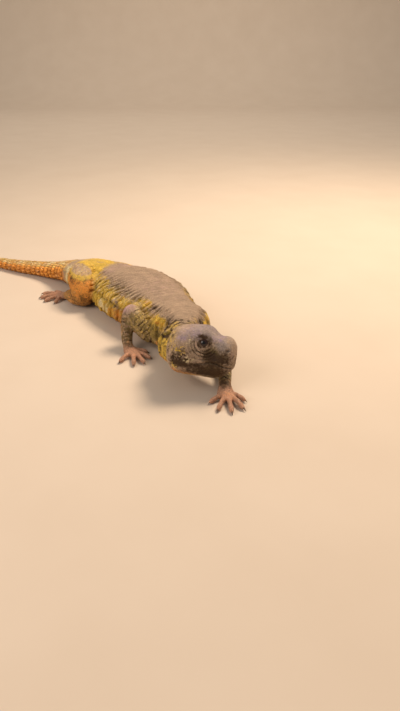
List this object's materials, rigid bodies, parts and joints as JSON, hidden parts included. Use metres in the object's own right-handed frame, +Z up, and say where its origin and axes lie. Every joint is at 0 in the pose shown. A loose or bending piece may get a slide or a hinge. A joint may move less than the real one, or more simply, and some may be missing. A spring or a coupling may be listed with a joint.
{
  "type": "spiny-tailed lizard",
  "caption": "Resting spiny-tailed desert lizard, plump and low, head raised and turned, one foreleg reaching ahead, tail straight behind.",
  "frame": {"origin": "on the floor, at the middle of the flat of the belly", "axes": "+X along the trunk towards the head, +Y to the animal's left, +Z up"},
  "size_m": [0.3425, 0.1104, 0.036],
  "materials": {
    "head_skin": "dry granular scales, grey brown",
    "back_skin": "dry granular scales, sandy grey with yellow flanks",
    "limb_skin": "dry scales, ochre and grey",
    "tail_skin": "hard keeled scales, orange and cream",
    "eye": "wet, near black"
  },
  "bodies": {
    "root": {"head": "head_skin", "eye_right": "eye", "eye_left": "eye", "neck": "head_skin", "torso": "back_skin", "hips": "back_skin", "tail_1": "tail_skin", "tail_2": "tail_skin", "tail_3": "tail_skin", "tail_4": "tail_skin", "upper_arm_right": "limb_skin", "forearm_right": "limb_skin", "hand_right": "limb_skin", "thigh_right": "limb_skin", "shank_right": "limb_skin", "foot_right": "limb_skin", "upper_arm_left": "limb_skin", "forearm_left": "limb_skin", "hand_left": "limb_skin", "thigh_left": "limb_skin", "shank_left": "limb_skin", "foot_left": "limb_skin"}
  },
  "joints": []
}
